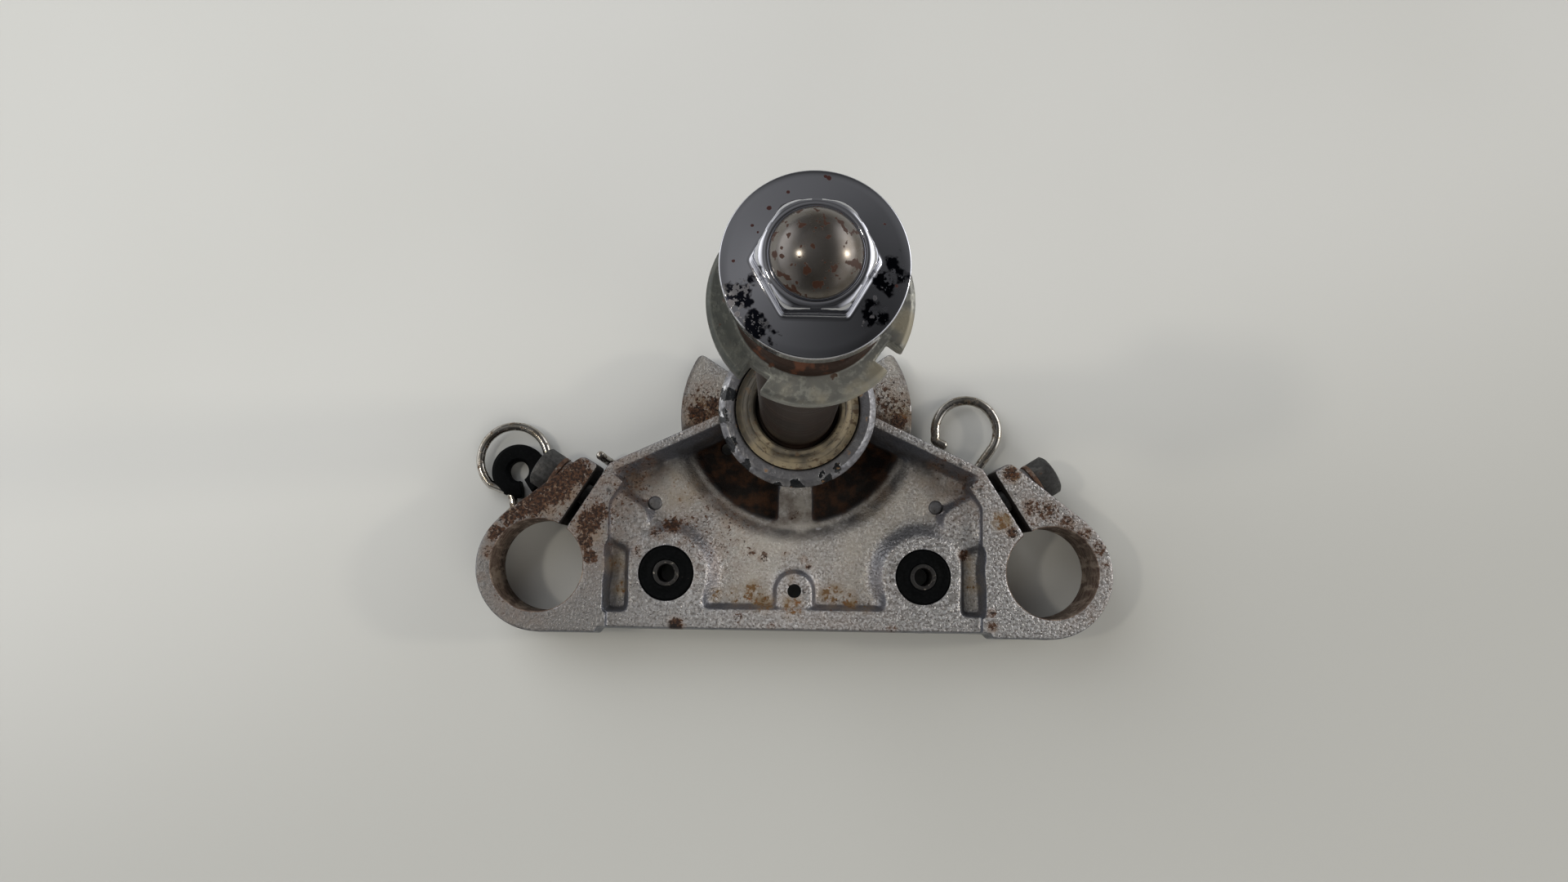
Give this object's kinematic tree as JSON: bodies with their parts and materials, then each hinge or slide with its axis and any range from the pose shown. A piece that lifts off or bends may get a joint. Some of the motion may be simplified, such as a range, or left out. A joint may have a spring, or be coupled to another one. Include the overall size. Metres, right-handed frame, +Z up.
{
  "type": "motorcycle triple clamp",
  "caption": "Cast lower triple clamp with split fork clamps, pressed-in steering stem, bearing race, ring nut, domed stem nut, rubber bushes and wire guides.",
  "frame": {"origin": "on the steering stem's axis, in the plane of the underside that the part stands on, at the mouth of the stem's bore", "axes": "+Z up along the steering stem, +X to the right clamp, +Y to the rear of the motorcycle, away from the front bar"},
  "size_m": [0.2353, 0.1097, 0.2358],
  "materials": {
    "cast_aluminium": "as-cast silver grey with rust and dirt in the corners",
    "stem_steel": "turned steel, stained brown",
    "race_steel": "ground steel, worn, greasy",
    "cup_steel": "bright steel with flakes of black paint",
    "ring_nut_steel": "dull zinc with tan dirt and rust in the middle",
    "nut_chrome": "chrome plate, pitted with rust",
    "bolt_steel": "dark oxidised steel",
    "washer_steel": "rusted steel",
    "bush_rubber": "matte black rubber, dusty",
    "sleeve_steel": "dull plated steel",
    "guide_wire": "tarnished bright wire",
    "rivet_steel": "peened steel, grey"
  },
  "bodies": {
    "root": {"lower_yoke": "cast_aluminium", "steering_stem": "stem_steel", "lower_bearing_race": "race_steel", "bearing_dust_cup": "cup_steel", "stem_ring_nut": "ring_nut_steel", "stem_cap_nut": "nut_chrome", "pinch_bolts": "bolt_steel", "pinch_washers": "washer_steel", "left_grommet": "bush_rubber", "right_grommet": "bush_rubber", "left_collar": "sleeve_steel", "right_collar": "sleeve_steel", "left_hose_guide": "guide_wire", "hose_ring": "bush_rubber", "left_guide_stub": "guide_wire", "right_cable_guide": "guide_wire", "left_guide_rivet": "rivet_steel", "right_guide_rivet": "rivet_steel"}
  },
  "joints": []
}
